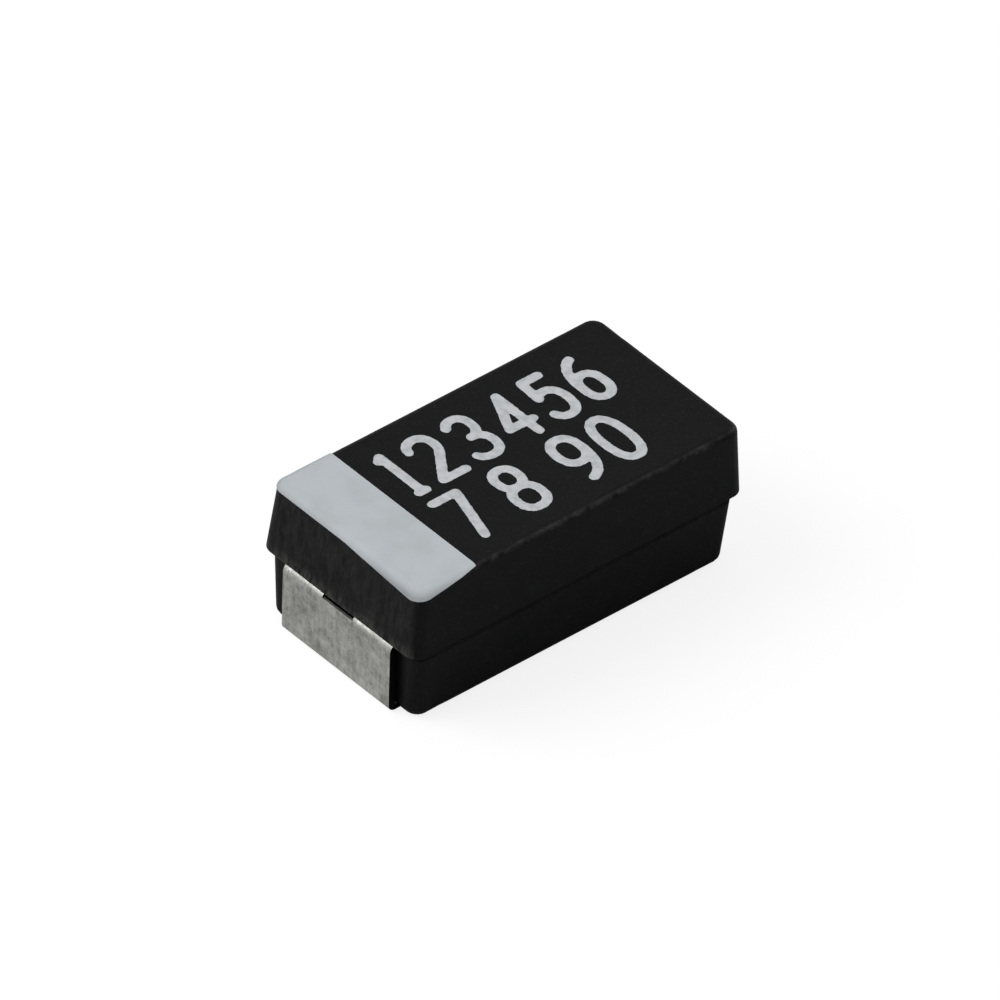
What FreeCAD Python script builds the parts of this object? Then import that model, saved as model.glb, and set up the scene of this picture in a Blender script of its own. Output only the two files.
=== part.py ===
import FreeCAD, Part
import os
import Sketcher
from FreeCAD import Vector

# Moulded chip capacitor with folded strip terminals, in millimetres.
# X runs along the length, with the anode and its band at -X, and Z points up.
# The origin is on the seating plane of the two feet, under the middle of the case.

SIZES = (
    # Moulded case
    ("case_length", 6.05, "length of the upper half at the parting line"),
    ("case_width", 3.2, "width of the upper half at the parting line"),
    ("upper_height", 1.135, "parting line to the top face"),
    ("lower_height", 1.183, "underside to the parting line"),
    ("side_step", 0.037, "overhang of the upper half over the lower half, at the sides"),
    ("end_step", 0.122, "the same at the ends, where the strips lie under it"),
    ("upper_draft", 3.6, "draft of the upper walls, in degrees"),
    ("lower_draft", 3.1, "draft of the lower walls, in degrees"),
    ("corner_radius", 0.21, "upright corners of both halves"),
    ("edge_radius", 0.1, "edges of the top face"),
    ("rim_radius", 0.02, "lower rim of the upper half"),
    ("base_radius", 0.13, "edges of the underside"),
    ("stand_off", 0.03, "underside above the seating plane"),
    # Strip terminals
    ("strip_thickness", 0.11, "sheet of both terminals"),
    ("strip_width", 2.21, "width of both terminals"),
    ("top_bend", 0.03, "inside radius of the bend at the parting line"),
    ("foot_bend", 0.02, "inside radius of the bend above the foot"),
    ("cradle_bend", 0.08, "inside radius of the two bends inside the case"),
    ("wall_gap", 0.02, "strip to the lower half's end wall, at the parting line"),
    ("strip_lean", 2.9, "lean of the riser towards the end wall, in degrees"),
    ("foot_length", 1.3, "foot, from the outer face of the strip at the parting line"),
    ("recess_gap", 0.02, "room round the foot in its recess"),
    ("slot_width", 0.63, "slot across the top bend"),
    ("slot_length", 0.45, "slot, inwards from the outer face of the strip"),
    ("slot_drop", 0.09, "slot below the strip's upper face, on the riser"),
    # Anode lead
    ("anode_lead_in", 0.93, "anode strip inside the end wall"),
    ("wire_radius", 0.18, "riser wire"),
    ("wire_depth", 1.0, "riser wire pressed into the pellet"),
    ("weld_length", 0.45, "riser wire along the strip"),
    ("weld_depth", 0.03, "flat that the weld makes on the wire"),
    ("wire_free", 0.5, "bare wire between the washer and the strip"),
    ("washer_radius", 0.42, "washer on the riser wire"),
    ("washer_thickness", 0.12, "washer on the riser wire"),
    # Pellet and its coats
    ("cover_wall", 0.28, "moulding over the coated pellet"),
    ("side_wall", 0.36, "moulding beside the coated pellet, at the parting line"),
    ("floor_wall", 0.19, "moulding between the foot recess and the cradle"),
    ("pellet_radius", 0.1, "long edges of the pellet"),
    ("manganese", 0.04, "manganese dioxide coat"),
    ("carbon", 0.02, "carbon coat"),
    ("silver", 0.03, "silver coat"),
    ("coat_setback", 0.15, "each outer coat short of the one under it, at the wire end"),
    # Cathode seat
    ("cathode_lead_in", 0.44, "cathode strip between the end wall and its step down"),
    ("seat_gap", 0.1, "coated pellet to the upright part of the cathode strip"),
    ("cradle_length", 1.9, "cathode strip under the pellet"),
    ("adhesive", 0.04, "adhesive between the silver coat and the cathode strip"),
    ("adhesive_margin", 0.2, "adhesive inside the edges of the strip"),
    # Polarity band
    ("ink", 0.015, "ink of the band"),
    ("band_width", 1.04, "band on the top face, from the end of the case at that level"),
    ("band_end_drop", 0.18, "band over the sides at the end, below the top face"),
    ("band_inner_drop", 0.01, "band over the sides at its inner edge, below the top face"),
    ("band_far_drop", 0.062, "band over the end, below the top face"),
    ("band_near_drop", 0.19, "the same at the near side, to which it sags from the middle"),
)

# Places that follow from the sizes. All x places here are distances from the middle of the case.
CASE_TOP = "(Sizes.stand_off + Sizes.lower_height + Sizes.upper_height)"
PARTING = "(Sizes.stand_off + Sizes.lower_height)"
END_WALL = "(Sizes.case_length / 2 - Sizes.end_step)"
TOP_INSET = "(Sizes.upper_height * tan(Sizes.upper_draft * 1 deg))"
OUTER_FACE = f"({END_WALL} + Sizes.wall_gap + Sizes.strip_thickness)"
STRIP_UNDER = f"({PARTING} - Sizes.strip_thickness)"
FOOT_TIP = f"({OUTER_FACE} - Sizes.foot_length)"
ANODE_TIP = f"({END_WALL} - Sizes.anode_lead_in)"
STEP_OUTER = f"({END_WALL} - Sizes.cathode_lead_in)"
STEP_INNER = f"({STEP_OUTER} - Sizes.strip_thickness)"
CRADLE_TIP = f"({STEP_INNER} - Sizes.cradle_length)"
RECESS_TOP = "(Sizes.strip_thickness + Sizes.recess_gap)"
CRADLE_UNDER = f"({RECESS_TOP} + Sizes.floor_wall)"
CRADLE_TOP = f"({CRADLE_UNDER} + Sizes.strip_thickness)"
WIRE_AXIS = f"({PARTING} + Sizes.wire_radius - Sizes.weld_depth)"
WIRE_FACE = f"({ANODE_TIP} - Sizes.wire_free - Sizes.washer_thickness)"

# Thickness of the coats up to each one, counted from the bare pellet
BARE = "0"
UP_TO_MANGANESE = "Sizes.manganese"
UP_TO_CARBON = "(Sizes.manganese + Sizes.carbon)"
UP_TO_SILVER = "(Sizes.manganese + Sizes.carbon + Sizes.silver)"
PELLET_TOP = f"({CASE_TOP} - Sizes.cover_wall - {UP_TO_SILVER})"
PELLET_UNDER = f"({CRADLE_TOP} + Sizes.adhesive + {UP_TO_SILVER})"
PELLET_END = f"({STEP_INNER} - Sizes.seat_gap - {UP_TO_SILVER})"
PELLET_SIDE = f"(Sizes.case_width / 2 - Sizes.side_wall - {UP_TO_SILVER})"

SEAT = "0"
MIDDLE = "0"
ANODE_SIDE = "-1"
CATHODE_SIDE = "1"
NEAR = 1e-4


def riser_outside(level):
    """Outer face of a leaning riser at a level, as a distance from the middle."""
    return f"({OUTER_FACE} - ({PARTING} - {level}) * tan(Sizes.strip_lean * 1 deg))"


def riser_inside(level):
    """Inner face of a leaning riser at a level, as a distance from the middle."""
    return f"({riser_outside(level)} - Sizes.strip_thickness)"


doc = FreeCAD.newDocument("ChipCapacitor")


def make_sheet():
    """Write every driving size into the spreadsheet, one row each."""
    sheet = doc.addObject("Spreadsheet::Sheet", "Sizes")
    for row, (alias, value, meaning) in enumerate(SIZES, start=1):
        sheet.set(f"A{row}", alias)
        sheet.set(f"B{row}", str(value))
        sheet.set(f"C{row}", meaning)
        sheet.setAlias(f"B{row}", alias)
    doc.recompute()
    return sheet


sizes = make_sheet()


def number(expression):
    """Present value of an expression, used to sketch in place and to find edges."""
    value = sizes.evalExpression(expression)
    return float(getattr(value, "Value", value))


def new_body(name):
    body = doc.addObject("PartDesign::Body", name)
    body.Label = name
    return body


def new_sketch(body, name, role, offset=None):
    """Sketch on one of the body's own origin planes, lifted off it by an expression."""
    sketch = body.newObject("Sketcher::SketchObject", name)
    plane = [datum for datum in body.Origin.OriginFeatures if datum.Role == role][0]
    sketch.AttachmentSupport = [(plane, "")]
    sketch.MapMode = "FlatFace"
    if offset is not None:
        sketch.setExpression("AttachmentOffset.Base.z", offset)
    return sketch


def place_point(sketch, geometry, point, x, y):
    """Fix one point of the sketch by its two distances from the origin."""
    for kind, expression in (("DistanceX", x), ("DistanceY", y)):
        rule = Sketcher.Constraint(kind, -1, 1, geometry, point, number(expression))
        index = sketch.addConstraint(rule)
        sketch.setExpression(f"Constraints[{index}]", expression)


def draw_outline(sketch, corners):
    """Closed outline of straight lines through corners given as pairs of expressions."""
    spots = [Vector(number(x), number(y), 0) for x, y in corners]
    count = len(corners)
    for index in range(count):
        sketch.addGeometry(Part.LineSegment(spots[index], spots[(index + 1) % count]), False)
    for index in range(count):
        sketch.addConstraint(Sketcher.Constraint("Coincident", index, 2, (index + 1) % count, 1))
    for index, (x, y) in enumerate(corners):
        place_point(sketch, index, 1, x, y)


def draw_circle(sketch, x, y, radius):
    """Circle with its centre and radius given as expressions."""
    centre = Vector(number(x), number(y), 0)
    circle = sketch.addGeometry(Part.Circle(centre, Vector(0, 0, 1), number(radius)), False)
    index = sketch.addConstraint(Sketcher.Constraint("Radius", circle, number(radius)))
    sketch.setExpression(f"Constraints[{index}]", radius)
    place_point(sketch, circle, 3, x, y)


def extrude(body, kind, name, sketch, length, both_ways=False, backwards=False):
    """Pad or pocket of a sketch, over a length given as an expression."""
    feature = body.newObject(kind, name)
    feature.Profile = sketch
    feature.setExpression("Length", length)
    feature.Midplane = both_ways
    feature.Reversed = backwards
    doc.recompute()
    return feature


def edges_where(feature, test):
    """Names of the feature's edges whose two end points pass the test."""
    return [
        f"Edge{index}"
        for index, edge in enumerate(feature.Shape.Edges, start=1)
        if test(edge.Vertexes[0].Point, edge.Vertexes[-1].Point)
    ]


def round_edges(body, name, base, test, radius):
    """Fillet of the edges that pass the test, with the radius given as an expression."""
    fillet = body.newObject("PartDesign::Fillet", name)
    fillet.Base = (base, edges_where(base, test))
    fillet.setExpression("Radius", radius)
    doc.recompute()
    return fillet


def rising(start, end):
    """True for an edge that climbs, such as an upright corner of a drafted block."""
    return abs(start.z - end.z) > abs(start.x - end.x) + abs(start.y - end.y)


def at_level(expression):
    """Test for an edge that lies flat at a level."""
    level = number(expression)
    return lambda start, end: abs(start.z - level) < NEAR and abs(end.z - level) < NEAR


def mirrored(x, side):
    """Place on one side of the middle: side is -1 at the anode and 1 at the cathode."""
    return f"{side} * {x}"


def drafted_block(name, length, width, height, draft, corner, downwards=False):
    """Block on the parting line with drafted walls and rounded upright corners."""
    body = new_body(name)
    sketch = new_sketch(body, f"{name}_outline", "XY_Plane", PARTING)
    half_length = f"({length}) / 2"
    half_width = f"({width}) / 2"
    draw_outline(sketch, (
        (f"-{half_length}", f"-{half_width}"),
        (half_length, f"-{half_width}"),
        (half_length, half_width),
        (f"-{half_length}", half_width),
    ))
    pad = extrude(body, "PartDesign::Pad", f"{name}_pad", sketch, height, backwards=downwards)
    pad.setExpression("TaperAngle", f"-{draft}")
    doc.recompute()
    corners = round_edges(body, f"{name}_corners", pad, rising, corner)
    return body, corners


def make_upper_half():
    """Upper half of the moulding, with a rounded top edge and a rounded lower rim."""
    body, block = drafted_block("upper_half", "Sizes.case_length", "Sizes.case_width",
                                "Sizes.upper_height", "Sizes.upper_draft", "Sizes.corner_radius")
    top = round_edges(body, "top_edge", block, at_level(CASE_TOP), "Sizes.edge_radius")
    round_edges(body, "parting_rim", top, at_level(PARTING), "Sizes.rim_radius")
    return body


def make_lower_half():
    """Lower half, stepped in under the rim, with a recess at each end for the foot."""
    body, block = drafted_block("lower_half",
                                "Sizes.case_length - 2 * Sizes.end_step",
                                "Sizes.case_width - 2 * Sizes.side_step",
                                "Sizes.lower_height", "Sizes.lower_draft", "Sizes.corner_radius",
                                downwards=True)
    round_edges(body, "base_edge", block, at_level("Sizes.stand_off"), "Sizes.base_radius")
    recess_width = "Sizes.strip_width + 2 * Sizes.recess_gap"
    for end, side in (("anode", ANODE_SIDE), ("cathode", CATHODE_SIDE)):
        sketch = new_sketch(body, f"{end}_recess_outline", "XZ_Plane")
        tip = mirrored(f"({FOOT_TIP} - Sizes.recess_gap)", side)
        outside = mirrored(f"({OUTER_FACE} + Sizes.strip_thickness)", side)
        bend_top = f"({RECESS_TOP} + Sizes.foot_bend)"
        wall = mirrored(riser_inside(bend_top), side)
        bend_start = mirrored(f"({riser_inside(bend_top)} - Sizes.foot_bend)", side)
        draw_outline(sketch, (
            (tip, "-Sizes.strip_thickness"),
            (outside, "-Sizes.strip_thickness"),
            (outside, bend_top),
            (wall, bend_top),
            (bend_start, RECESS_TOP),
            (tip, RECESS_TOP),
        ))
        extrude(body, "PartDesign::Pocket", f"{end}_recess", sketch, recess_width, both_ways=True)
    return body


def fold_strip(name, side, corners, bends):
    """Strip terminal: its folded section, padded to the width, with bends and the slot.

    corners holds the section's corners as distances from the middle and levels. bends
    pairs each inside corner with its outside corner and the inside radius.
    """
    body = new_body(name)
    section = new_sketch(body, f"{name}_section", "XZ_Plane")
    draw_outline(section, [(mirrored(x, side), z) for x, z in corners])
    feature = extrude(body, "PartDesign::Pad", f"{name}_pad", section, "Sizes.strip_width",
                      both_ways=True)
    for label, inside, outside, radius in bends:
        for part, corner, size in (("inside", inside, radius),
                                   ("outside", outside, f"{radius} + Sizes.strip_thickness")):
            x = number(mirrored(corner[0], side))
            z = number(corner[1])
            feature = round_edges(
                body, f"{name}_{label}_{part}", feature,
                lambda start, end: all(abs(point.x - x) < NEAR and abs(point.z - z) < NEAR
                                       for point in (start, end)),
                size)
    slot = new_sketch(body, f"{name}_slot_outline", "XZ_Plane")
    beyond = mirrored(f"({OUTER_FACE} + Sizes.strip_thickness)", side)
    bend_start = mirrored(f"({riser_inside(STRIP_UNDER)} - Sizes.top_bend)", side)
    inner_end = mirrored(f"({OUTER_FACE} - Sizes.slot_length)", side)
    above = f"({PARTING} + Sizes.strip_thickness)"
    below = f"({STRIP_UNDER} - Sizes.top_bend)"
    riser_cut = f"({PARTING} - Sizes.slot_drop)"
    draw_outline(slot, (
        (beyond, above),
        (inner_end, above),
        (inner_end, below),
        (bend_start, below),
        (bend_start, riser_cut),
        (beyond, riser_cut),
    ))
    extrude(body, "PartDesign::Pocket", f"{name}_slot", slot, "Sizes.slot_width", both_ways=True)
    return body


def make_anode_terminal():
    """Anode strip: foot, riser, top bend and a straight tongue that carries the wire."""
    top_inside = (riser_inside(STRIP_UNDER), STRIP_UNDER)
    top_outside = (OUTER_FACE, PARTING)
    foot_inside = (riser_inside("Sizes.strip_thickness"), "Sizes.strip_thickness")
    foot_outside = (riser_outside(SEAT), SEAT)
    corners = (
        (FOOT_TIP, SEAT),
        foot_outside,
        top_outside,
        (ANODE_TIP, PARTING),
        (ANODE_TIP, STRIP_UNDER),
        top_inside,
        foot_inside,
        (FOOT_TIP, "Sizes.strip_thickness"),
    )
    bends = (
        ("top", top_inside, top_outside, "Sizes.top_bend"),
        ("foot", foot_inside, foot_outside, "Sizes.foot_bend"),
    )
    return fold_strip("anode_terminal", ANODE_SIDE, corners, bends)


def make_cathode_terminal():
    """Cathode strip: as the anode strip outside, stepped down to a cradle inside."""
    top_inside = (riser_inside(STRIP_UNDER), STRIP_UNDER)
    top_outside = (OUTER_FACE, PARTING)
    foot_inside = (riser_inside("Sizes.strip_thickness"), "Sizes.strip_thickness")
    foot_outside = (riser_outside(SEAT), SEAT)
    step_inside = (STEP_OUTER, STRIP_UNDER)
    step_outside = (STEP_INNER, PARTING)
    cradle_inside = (STEP_INNER, CRADLE_TOP)
    cradle_outside = (STEP_OUTER, CRADLE_UNDER)
    corners = (
        (FOOT_TIP, SEAT),
        foot_outside,
        top_outside,
        step_outside,
        cradle_inside,
        (CRADLE_TIP, CRADLE_TOP),
        (CRADLE_TIP, CRADLE_UNDER),
        cradle_outside,
        step_inside,
        top_inside,
        foot_inside,
        (FOOT_TIP, "Sizes.strip_thickness"),
    )
    bends = (
        ("top", top_inside, top_outside, "Sizes.top_bend"),
        ("foot", foot_inside, foot_outside, "Sizes.foot_bend"),
        ("step", step_inside, step_outside, "Sizes.cradle_bend"),
        ("cradle", cradle_inside, cradle_outside, "Sizes.cradle_bend"),
    )
    return fold_strip("cathode_terminal", CATHODE_SIDE, corners, bends)


def pellet_block(name, growth, wire_end):
    """Pellet-shaped block with rounded long edges, grown by the coats up to a thickness.

    wire_end is the block's end towards the wire, as a distance from the middle.
    """
    body = new_body(name)
    sketch = new_sketch(body, f"{name}_section", "YZ_Plane", f"-{wire_end}")
    side = f"({PELLET_SIDE} + {growth})"
    under = f"({PELLET_UNDER} - {growth})"
    top = f"({PELLET_TOP} + {growth})"
    draw_outline(sketch, ((f"-{side}", under), (side, under), (side, top), (f"-{side}", top)))
    length = f"{wire_end} + {PELLET_END} + {growth}"
    pad = extrude(body, "PartDesign::Pad", f"{name}_pad", sketch, length)
    round_edges(body, f"{name}_edges", pad,
                lambda start, end: abs(start.x - end.x) > abs(start.y - end.y) + abs(start.z - end.z),
                f"Sizes.pellet_radius + {growth}")
    return body


def wire_cylinder(name, radius, start, length):
    """Cylinder on the wire's axis, from a distance towards the anode end."""
    body = new_body(name)
    sketch = new_sketch(body, f"{name}_circle", "YZ_Plane", f"-{start}")
    draw_circle(sketch, MIDDLE, WIRE_AXIS, radius)
    extrude(body, "PartDesign::Pad", f"{name}_pad", sketch, length)
    return body


def subtract(name, base, tools):
    """Base less one or more tools, under the sub-part's own name."""
    tool = tools[0]
    if len(tools) > 1:
        tool = doc.addObject("Part::MultiFuse", f"{name}_tools")
        tool.Shapes = tools
    cut = doc.addObject("Part::Cut", name)
    cut.Base = base
    cut.Tool = tool
    cut.Label = name
    doc.recompute()
    return cut


def make_pellet_group(anode_terminal):
    """Pellet with its wire, washer and coats, and the block that they fill together."""
    wire_end = f"({ANODE_TIP} + Sizes.weld_length)"
    wire_length = f"{wire_end} - {WIRE_FACE} + Sizes.wire_depth"
    washer_end = f"({WIRE_FACE} + Sizes.washer_thickness)"
    wire_rod = wire_cylinder("wire_rod", "Sizes.wire_radius", wire_end, wire_length)
    washer_disc = wire_cylinder("washer_disc", "Sizes.washer_radius", washer_end,
                                "Sizes.washer_thickness")
    wire = subtract("anode_wire", wire_rod, [anode_terminal])
    washer = subtract("wire_washer", washer_disc, [wire_rod])

    bare = pellet_block("pellet_block", BARE, WIRE_FACE)
    pellet = subtract("tantalum_pellet", bare, [wire_rod])

    manganese_end = f"({WIRE_FACE} + Sizes.manganese)"
    carbon_end = f"({WIRE_FACE} - Sizes.coat_setback)"
    silver_end = f"({WIRE_FACE} - 2 * Sizes.coat_setback)"
    manganese_block = pellet_block("manganese_block", UP_TO_MANGANESE, manganese_end)
    carbon_block = pellet_block("carbon_block", UP_TO_CARBON, carbon_end)
    silver_block = pellet_block("silver_block", UP_TO_SILVER, silver_end)
    manganese = subtract("manganese_coat", manganese_block, [bare, wire_rod, washer_disc])
    carbon = subtract("carbon_coat", carbon_block, [manganese_block])
    silver = subtract("silver_coat", silver_block, [carbon_block, manganese_block])
    nodes = [wire, washer, pellet, manganese, carbon, silver]
    filled = [wire_rod, washer_disc, manganese_block, carbon_block, silver_block]
    return nodes, filled


def make_adhesive():
    """Pad of adhesive between the silver coat and the cradle of the cathode strip."""
    body = new_body("silver_adhesive")
    sketch = new_sketch(body, "silver_adhesive_outline", "XY_Plane", CRADLE_TOP)
    inner = f"({CRADLE_TIP} + Sizes.adhesive_margin)"
    outer = f"({PELLET_END} - Sizes.adhesive_margin)"
    side = "(Sizes.strip_width / 2 - Sizes.adhesive_margin)"
    draw_outline(sketch, ((inner, f"-{side}"), (outer, f"-{side}"), (outer, side), (inner, side)))
    extrude(body, "PartDesign::Pad", "silver_adhesive_pad", sketch, "Sizes.adhesive")
    return body


def make_band(upper_half):
    """Band of ink: a skin of the upper half, kept where the stripe lies."""
    body, block = drafted_block("ink_skin",
                                "Sizes.case_length + 2 * Sizes.ink",
                                "Sizes.case_width + 2 * Sizes.ink",
                                "Sizes.upper_height + Sizes.ink", "Sizes.upper_draft",
                                "Sizes.corner_radius + Sizes.ink")
    round_edges(body, "ink_top_edge", block, at_level(f"({CASE_TOP} + Sizes.ink)"),
                "Sizes.edge_radius + Sizes.ink")

    stripe = new_body("stripe")
    sketch = new_sketch(stripe, "stripe_outline", "XZ_Plane")
    end = "-(Sizes.case_length / 2 + Sizes.ink)"
    inner = f"-(Sizes.case_length / 2 - {TOP_INSET} - Sizes.band_width)"
    above = f"({CASE_TOP} + 2 * Sizes.ink)"
    draw_outline(sketch, (
        (end, f"({CASE_TOP} - Sizes.band_end_drop)"),
        (inner, f"({CASE_TOP} - Sizes.band_inner_drop)"),
        (inner, above),
        (end, above),
    ))
    breadth = "Sizes.case_width + 4 * Sizes.ink"
    extrude(stripe, "PartDesign::Pad", "stripe_pad", sketch, breadth, both_ways=True)

    sag = new_sketch(stripe, "stripe_lower_edge", "YZ_Plane")
    near_side = f"-({breadth})"
    far_side = f"({breadth})"
    bottom = PARTING
    even_level = f"({CASE_TOP} - Sizes.band_far_drop)"
    near_level = f"({CASE_TOP} - Sizes.band_near_drop)"
    draw_outline(sag, (
        (near_side, bottom),
        (far_side, bottom),
        (far_side, even_level),
        (MIDDLE, even_level),
        ("-Sizes.case_width / 2", near_level),
        (near_side, near_level),
    ))
    extrude(stripe, "PartDesign::Pocket", "stripe_sag", sag, "2 * Sizes.case_length",
            both_ways=True)

    common = doc.addObject("Part::MultiCommon", "band_skin")
    common.Shapes = [body, stripe]
    return subtract("polarity_band", common, [upper_half])


def make_case(upper_half, lower_half, filled):
    """Moulding: both halves in one, less everything that it was moulded round."""
    blank = doc.addObject("Part::MultiFuse", "case_blank")
    blank.Shapes = [upper_half, lower_half]
    doc.recompute()
    return subtract("moulded_case", blank, filled)


def check(nodes):
    """Stop with a message if any object failed or any sub-part is not a valid solid."""
    doc.recompute()
    for thing in doc.Objects:
        if "Invalid" in thing.State or "Error" in thing.State:
            raise RuntimeError(f"{thing.Name} failed: {thing.State}")
    for node in nodes:
        if node.Shape.isNull() or not node.Shape.isValid() or not node.Shape.Solids:
            raise RuntimeError(f"{node.Label} is not a valid solid")


upper_half = make_upper_half()
lower_half = make_lower_half()
anode_terminal = make_anode_terminal()
cathode_terminal = make_cathode_terminal()
inner_nodes, inner_blocks = make_pellet_group(anode_terminal)
adhesive = make_adhesive()
band = make_band(upper_half)
case = make_case(upper_half, lower_half,
                 [anode_terminal, cathode_terminal, adhesive] + inner_blocks)

nodes = [case, band, anode_terminal, cathode_terminal, adhesive] + inner_nodes
check(nodes)

os.makedirs("parts", exist_ok=True)
for node in nodes:
    node.Shape.exportStep(f"parts/{node.Label}.step")
    box = node.Shape.optimalBoundingBox()
    print(f"{node.Label}: {len(node.Shape.Solids)} solid, {node.Shape.Volume:.4f} mm3,"
          f" x {box.XMin:.3f} to {box.XMax:.3f}, y {box.YMin:.3f} to {box.YMax:.3f},"
          f" z {box.ZMin:.3f} to {box.ZMax:.3f}")
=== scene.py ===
"""Looks of a moulded chip capacitor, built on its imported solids."""

import logging
import math
from dataclasses import dataclass, field
from typing import Any, Optional, Sequence

import bmesh
import bpy
from mathutils import Matrix, Vector, noise


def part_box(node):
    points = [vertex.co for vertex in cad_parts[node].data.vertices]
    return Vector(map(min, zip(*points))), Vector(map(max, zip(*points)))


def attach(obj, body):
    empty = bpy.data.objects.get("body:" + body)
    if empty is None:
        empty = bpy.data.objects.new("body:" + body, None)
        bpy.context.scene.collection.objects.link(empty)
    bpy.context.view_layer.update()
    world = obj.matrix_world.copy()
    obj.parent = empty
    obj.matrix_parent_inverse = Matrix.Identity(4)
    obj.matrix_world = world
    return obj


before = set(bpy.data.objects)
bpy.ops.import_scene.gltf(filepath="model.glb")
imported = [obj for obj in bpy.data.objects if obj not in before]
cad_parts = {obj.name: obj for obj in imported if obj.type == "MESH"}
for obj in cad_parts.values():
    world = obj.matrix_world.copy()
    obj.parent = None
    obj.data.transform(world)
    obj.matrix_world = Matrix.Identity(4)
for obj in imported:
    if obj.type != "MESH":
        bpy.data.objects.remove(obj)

LOG = logging.getLogger("chip_capacitor")
MM = 0.001
BODY = "root"
WHITE = (1.0, 1.0, 1.0, 1.0)

Node = bpy.types.Node
Object = bpy.types.Object
Socket = bpy.types.NodeSocket
Tree = bpy.types.NodeTree
Pair = tuple[float, float]
Triple = tuple[float, float, float]

# Sockets of the Mix node in its colour mode, which share their names with its other modes.
MIX_FIRST = 6
MIX_SECOND = 7
MIX_RESULT = 2

# Output of the Light Path node that is one where the camera sees a surface itself.
SEEN = "Is Camera Ray"


def linear(hex_colour: str) -> tuple[float, float, float, float]:
    """Turn an sRGB hex colour into the linear colour that a shader takes, by the sRGB curve.

    Args:
        hex_colour: Six hex digits, with or without a leading #.

    Returns:
        Red, green, blue and an alpha of one.
    """
    digits = hex_colour.lstrip("#")
    channels = []
    for start in (0, 2, 4):
        level = int(digits[start:start + 2], 16) / 255
        channels.append(level / 12.92 if level <= 0.04045 else ((level + 0.055) / 1.055) ** 2.4)
    return channels[0], channels[1], channels[2], 1.0


def add_node(tree: Tree, kind: str, inputs: Optional[dict[Any, Any]] = None,
             stops: Sequence[tuple[float, str]] = (), **settings: Any) -> Node:
    """Add a shader node with its settings, values and links.

    Args:
        tree: Node tree that gets the node.
        kind: Type name of the node.
        inputs: Socket name or index to a value, or to the output socket that feeds it.
        stops: Places and hex colours of a colour ramp, from low to high.
        **settings: Properties of the node itself.

    Returns:
        The new node.
    """
    node = tree.nodes.new(kind)
    for name, value in settings.items():
        setattr(node, name, value)
    for name, value in (inputs or {}).items():
        if isinstance(value, Socket):
            tree.links.new(value, node.inputs[name])
        else:
            node.inputs[name].default_value = value
    if stops:
        elements = node.color_ramp.elements
        for element, (place, colour) in zip((elements[0], elements[1]), (stops[0], stops[-1])):
            element.position = place
            element.color = linear(colour)
        for place, colour in stops[1:-1]:
            elements.new(place).color = linear(colour)
    return node


def blank_material(name: str) -> tuple[bpy.types.Material, Tree]:
    """Make an empty node material.

    Args:
        name: Name of the material.

    Returns:
        The material and its empty node tree.
    """
    material = bpy.data.materials.new(name)
    material.use_nodes = True
    material.node_tree.nodes.clear()
    return material, material.node_tree


def grain_scale(size_mm: float) -> float:
    """Noise scale on Object coordinates whose features are this wide in millimetres."""
    return 1.0 / (size_mm * MM)


def facing_parts(tree: Tree, normal: Socket) -> Node:
    """Split a surface's direction into outputs X, Y and Z, each from zero to one."""
    facing = add_node(tree, "ShaderNodeVectorMath", {0: normal}, operation="ABSOLUTE")
    return add_node(tree, "ShaderNodeSeparateXYZ", {"Vector": facing.outputs["Vector"]})


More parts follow.
